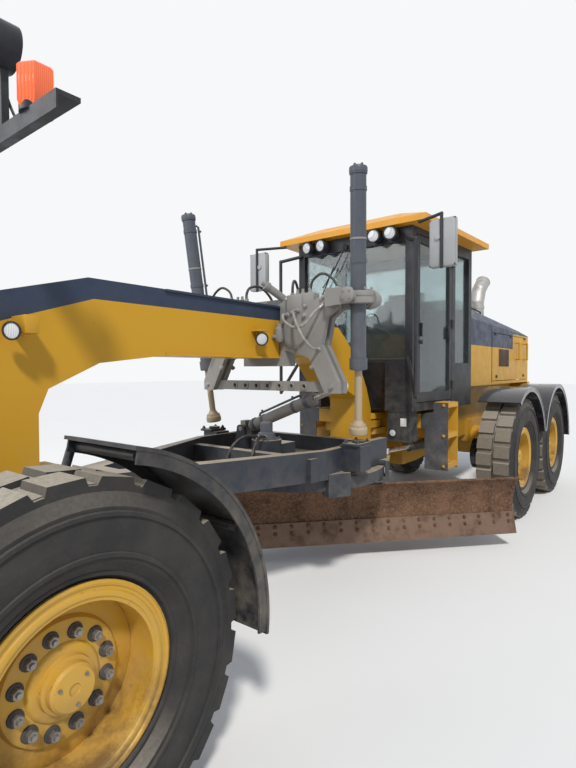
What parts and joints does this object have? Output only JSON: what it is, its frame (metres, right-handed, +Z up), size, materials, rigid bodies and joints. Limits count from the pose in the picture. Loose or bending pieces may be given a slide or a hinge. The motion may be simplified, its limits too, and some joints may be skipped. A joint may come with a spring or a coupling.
{
  "type": "motor grader",
  "caption": "Articulated motor grader with a leaning front axle, a blade under an arched frame, an enclosed cab and tandem drive wheels.",
  "frame": {"origin": "on the ground below the middle of the machine's length and width", "axes": "+X forward along the machine, +Y to its left, +Z up"},
  "size_m": [8.8897, 2.9577, 3.1748],
  "materials": {
    "yellow_paint": "satin",
    "slate_paint": "satin",
    "dark_paint": "satin",
    "cab_glass": "polished",
    "cab_trim": "matte",
    "dull_steel": "worn",
    "rusty_steel": "rusty",
    "tyre_rubber": "dusty"
  },
  "bodies": {
    "rear": {"rear_frame": "yellow_paint", "engine": "dark_paint", "hood": "slate_paint", "cab_frame": "dark_paint", "cab_roof": "yellow_paint", "cab_glass": "cab_glass", "cab_interior": "cab_trim", "exhaust": "dull_steel", "cab_fittings": "dark_paint"},
    "cab_door_left": {"cab_door_left": "dark_paint", "door_glass_left": "cab_glass"},
    "cab_door_right": {"cab_door_right": "dark_paint", "door_glass_right": "cab_glass"},
    "engine_door_left": {"engine_door_left": "yellow_paint"},
    "engine_door_right": {"engine_door_right": "yellow_paint"},
    "rear_grille": {"rear_grille": "dark_paint"},
    "tandem_left": {"tandem_left": "yellow_paint"},
    "tandem_right": {"tandem_right": "yellow_paint"},
    "front": {"front_frame": "yellow_paint", "saddle": "yellow_paint", "front_lights": "dark_paint"},
    "front_axle": {"front_axle": "dark_paint"},
    "yoke_left": {"yoke_left": "dark_paint"},
    "yoke_right": {"yoke_right": "dark_paint"},
    "knuckle_left": {"knuckle_left": "dark_paint"},
    "knuckle_right": {"knuckle_right": "dark_paint"},
    "lean_bar": {"lean_bar": "dull_steel"},
    "tie_rod_end": {"tie_rod_end": "dull_steel"},
    "tie_rod": {"tie_rod": "dull_steel"},
    "drawbar_ball": {"drawbar_ball": "dull_steel"},
    "drawbar": {"drawbar": "slate_paint"},
    "circle": {"circle": "slate_paint"},
    "blade_bracket": {"blade_bracket": "slate_paint"},
    "blade": {"moldboard": "rusty_steel", "cutting_edge": "dull_steel"},
    "shift_swivel": {"shift_swivel": "dull_steel"},
    "shift_barrel": {"shift_barrel": "dull_steel"},
    "shift_rod": {"shift_rod": "dull_steel"},
    "lift_collar_left": {"lift_collar_left": "dark_paint"},
    "lift_barrel_left": {"lift_barrel_left": "dark_paint"},
    "lift_rod_left": {"lift_rod_left": "dull_steel"},
    "hinge_barrel_left": {"hinge_barrel_left": "dark_paint"},
    "hinge_rod_left": {"hinge_rod_left": "dull_steel"},
    "lift_collar_right": {"lift_collar_right": "dark_paint"},
    "lift_barrel_right": {"lift_barrel_right": "dark_paint"},
    "lift_rod_right": {"lift_rod_right": "dull_steel"},
    "hinge_barrel_right": {"hinge_barrel_right": "dark_paint"},
    "hinge_rod_right": {"hinge_rod_right": "dull_steel"},
    "wheel_rear_left_1": {"tyre_rear_left_1": "tyre_rubber", "rim_rear_left_1": "yellow_paint"},
    "wheel_rear_left_2": {"tyre_rear_left_2": "tyre_rubber", "rim_rear_left_2": "yellow_paint"},
    "wheel_rear_right_1": {"tyre_rear_right_1": "tyre_rubber", "rim_rear_right_1": "yellow_paint"},
    "wheel_rear_right_2": {"tyre_rear_right_2": "tyre_rubber", "rim_rear_right_2": "yellow_paint"},
    "wheel_front_left": {"tyre_front_left": "tyre_rubber", "rim_front_left": "yellow_paint"},
    "wheel_front_right": {"tyre_front_right": "tyre_rubber", "rim_front_right": "yellow_paint"}
  },
  "joints": [
    {"name": "articulation", "type": "hinge", "parent": "rear", "child": "front", "pos_m": [-0.06, 0, 0.97], "axis": [0, 0, 1], "range_deg": [-20, 20]},
    {"name": "axle_swing", "type": "hinge", "parent": "front", "child": "front_axle", "pos_m": [3.77, 0, 0.74], "axis": [-1, 0, 0], "range_deg": [-16, 16]},
    {"name": "lean_left", "type": "hinge", "parent": "front_axle", "child": "yoke_left", "pos_m": [3.77, 0.675, 0.64], "axis": [-1, 0, 0], "range_deg": [-20, 20]},
    {"name": "steer_left", "type": "hinge", "parent": "yoke_left", "child": "knuckle_left", "pos_m": [3.77, 0.785, 0.675], "axis": [0, 0, 1], "range_deg": [-50, 50]},
    {"name": "lean_right", "type": "hinge", "parent": "front_axle", "child": "yoke_right", "pos_m": [3.77, -0.675, 0.64], "axis": [-1, 0, 0], "range_deg": [-20, 20]},
    {"name": "steer_right", "type": "hinge", "parent": "yoke_right", "child": "knuckle_right", "pos_m": [3.77, -0.785, 0.675], "axis": [0, 0, 1], "range_deg": [-50, 50]},
    {"name": "lean_bar", "type": "hinge", "parent": "yoke_left", "child": "lean_bar", "pos_m": [3.77, 0.675, 0.96], "axis": [-1, 0, 0], "range_deg": [-20.5, 20.5]},
    {"name": "tie_rod_turn", "type": "hinge", "parent": "knuckle_left", "child": "tie_rod_end", "pos_m": [3.43, 0.785, 0.461], "axis": [0, 0, 1], "range_deg": [-50.5, 50.5]},
    {"name": "tie_rod_tip", "type": "hinge", "parent": "tie_rod_end", "child": "tie_rod", "pos_m": [3.43, 0.785, 0.461], "axis": [-1, 0, 0], "range_deg": [-20.5, 20.5]},
    {"name": "tandem_left", "type": "hinge", "parent": "rear", "child": "tandem_left", "pos_m": [-2.39, 0.695, 0.735], "axis": [0, 1, 0], "range_deg": [-20, 20]},
    {"name": "tandem_right", "type": "hinge", "parent": "rear", "child": "tandem_right", "pos_m": [-2.39, -0.695, 0.735], "axis": [0, 1, 0], "range_deg": [-20, 20]},
    {"name": "wheel_rear_left_1", "type": "hinge", "parent": "tandem_left", "child": "wheel_rear_left_1", "pos_m": [-1.62, 1.03, 0.675], "axis": [0, 1, 0], "continuous": true},
    {"name": "wheel_rear_left_2", "type": "hinge", "parent": "tandem_left", "child": "wheel_rear_left_2", "pos_m": [-3.16, 1.03, 0.675], "axis": [0, 1, 0], "continuous": true},
    {"name": "wheel_rear_right_1", "type": "hinge", "parent": "tandem_right", "child": "wheel_rear_right_1", "pos_m": [-1.62, -1.03, 0.675], "axis": [0, 1, 0], "continuous": true},
    {"name": "wheel_rear_right_2", "type": "hinge", "parent": "tandem_right", "child": "wheel_rear_right_2", "pos_m": [-3.16, -1.03, 0.675], "axis": [0, 1, 0], "continuous": true},
    {"name": "wheel_front_left", "type": "hinge", "parent": "knuckle_left", "child": "wheel_front_left", "pos_m": [3.77, 1.03, 0.675], "axis": [0, 1, 0], "continuous": true},
    {"name": "wheel_front_right", "type": "hinge", "parent": "knuckle_right", "child": "wheel_front_right", "pos_m": [3.77, -1.03, 0.675], "axis": [0, 1, 0], "continuous": true},
    {"name": "drawbar_swing", "type": "hinge", "parent": "front", "child": "drawbar_ball", "pos_m": [3.33, 0, 1], "axis": [0, 0, -1], "range_deg": [-7, 7]},
    {"name": "drawbar_lift", "type": "hinge", "parent": "drawbar_ball", "child": "drawbar", "pos_m": [3.33, 0, 0.895], "axis": [0, 1, 0], "range_deg": [-6.5, 8.7]},
    {"name": "circle_turn", "type": "hinge", "parent": "drawbar", "child": "circle", "pos_m": [1.17, 0, 0.857], "axis": [0, 0, 1], "continuous": true},
    {"name": "blade_tip", "type": "hinge", "parent": "circle", "child": "blade_bracket", "pos_m": [0.94919, -0.24524, 0.33], "axis": [-0.7431, 0.6691, 0], "range_deg": [-5, 40]},
    {"name": "blade_shift", "type": "slide", "parent": "blade_bracket", "child": "blade", "axis": [0.7431, -0.6691, 0], "range_m": [-0.683, 0.683]},
    {"name": "lift_collar_left", "type": "hinge", "parent": "front", "child": "lift_collar_left", "pos_m": [1.475, 0.815, 2.19], "axis": [1, 0, 0], "range_deg": [-14, 14]},
    {"name": "lift_barrel_left", "type": "hinge", "parent": "lift_collar_left", "child": "lift_barrel_left", "pos_m": [1.475, 0.815, 2.19], "axis": [0, 1, 0], "range_deg": [-6, 6]},
    {"name": "lift_rod_left", "type": "slide", "parent": "lift_barrel_left", "child": "lift_rod_left", "axis": [0.1042, 0.0596, 0.9928], "range_m": [-0.228, 0.304]},
    {"name": "hinge_barrel_left", "type": "hinge", "parent": "rear", "child": "hinge_barrel_left", "pos_m": [-0.76, 0.5, 0.9], "axis": [0, 0, 1], "range_deg": [-4.5, 4.5]},
    {"name": "hinge_rod_left", "type": "slide", "parent": "hinge_barrel_left", "child": "hinge_rod_left", "axis": [0.9893, -0.1458, 0], "range_m": [-0.141, 0.141]},
    {"name": "lift_collar_right", "type": "hinge", "parent": "front", "child": "lift_collar_right", "pos_m": [1.475, -0.815, 2.19], "axis": [1, 0, 0], "range_deg": [-14, 14]},
    {"name": "lift_barrel_right", "type": "hinge", "parent": "lift_collar_right", "child": "lift_barrel_right", "pos_m": [1.475, -0.815, 2.19], "axis": [0, 1, 0], "range_deg": [-6, 6]},
    {"name": "lift_rod_right", "type": "slide", "parent": "lift_barrel_right", "child": "lift_rod_right", "axis": [0.1042, -0.0596, 0.9928], "range_m": [-0.228, 0.304]},
    {"name": "hinge_barrel_right", "type": "hinge", "parent": "rear", "child": "hinge_barrel_right", "pos_m": [-0.76, -0.5, 0.9], "axis": [0, 0, 1], "range_deg": [-4.5, 4.5]},
    {"name": "hinge_rod_right", "type": "slide", "parent": "hinge_barrel_right", "child": "hinge_rod_right", "axis": [0.9893, 0.1458, 0], "range_m": [-0.141, 0.141]},
    {"name": "shift_swivel", "type": "hinge", "parent": "drawbar", "child": "shift_swivel", "pos_m": [1.278, -0.43, 1.17], "axis": [1, 0, 0], "range_deg": [-17, 13]},
    {"name": "shift_barrel", "type": "hinge", "parent": "shift_swivel", "child": "shift_barrel", "pos_m": [1.278, -0.43, 1.17], "axis": [0, 0, 1], "range_deg": [-4.5, 4.5]},
    {"name": "shift_rod", "type": "slide", "parent": "shift_barrel", "child": "shift_rod", "axis": [0, 0.932, 0.3625], "range_m": [-0.238, 0.238]},
    {"name": "cab_door_left", "type": "hinge", "parent": "rear", "child": "cab_door_left", "pos_m": [-0.635, 0.7087, 2.1], "axis": [0, 0, 1], "range_deg": [0, 100]},
    {"name": "cab_door_right", "type": "hinge", "parent": "rear", "child": "cab_door_right", "pos_m": [-0.635, -0.7087, 2.1], "axis": [0, 0, -1], "range_deg": [0, 100]},
    {"name": "engine_door_left", "type": "hinge", "parent": "rear", "child": "engine_door_left", "pos_m": [-3.2, 0.6, 2.165], "axis": [1, 0, 0], "range_deg": [0, 75]},
    {"name": "engine_door_right", "type": "hinge", "parent": "rear", "child": "engine_door_right", "pos_m": [-3.2, -0.6, 2.165], "axis": [-1, 0, 0], "range_deg": [0, 75]},
    {"name": "rear_grille", "type": "hinge", "parent": "rear", "child": "rear_grille", "pos_m": [-4.25, 0.47, 1.85], "axis": [0, 0, -1], "range_deg": [0, 100]}
  ],
  "couplings": [
    {"joint": "lean_right", "follows": "lean_left", "ratio": 1},
    {"joint": "steer_right", "follows": "steer_left", "ratio": 1},
    {"joint": "lean_bar", "follows": "lean_left", "ratio": -1},
    {"joint": "tie_rod_turn", "follows": "steer_left", "ratio": -1},
    {"joint": "tie_rod_tip", "follows": "lean_left", "ratio": -0.86},
    {"joint": "lift_collar_left", "follows": "drawbar_swing", "ratio": 1.9238},
    {"joint": "lift_barrel_left", "follows": "drawbar_swing", "ratio": -0.72059},
    {"joint": "lift_rod_left", "follows": "drawbar_lift", "m_per_rad": 1.9662},
    {"joint": "hinge_barrel_left", "follows": "articulation", "ratio": 0.19717},
    {"joint": "hinge_rod_left", "follows": "articulation", "m_per_rad": -0.38969},
    {"joint": "lift_collar_right", "follows": "drawbar_swing", "ratio": 1.9238},
    {"joint": "lift_barrel_right", "follows": "drawbar_swing", "ratio": 0.72059},
    {"joint": "lift_rod_right", "follows": "drawbar_lift", "m_per_rad": 1.9662},
    {"joint": "hinge_barrel_right", "follows": "articulation", "ratio": 0.19717},
    {"joint": "hinge_rod_right", "follows": "articulation", "m_per_rad": 0.38969},
    {"joint": "shift_swivel", "follows": "drawbar_lift", "ratio": -1.8698},
    {"joint": "shift_barrel", "follows": "drawbar_swing", "ratio": 0.56362},
    {"joint": "shift_rod", "follows": "drawbar_swing", "m_per_rad": -1.9062}
  ]
}
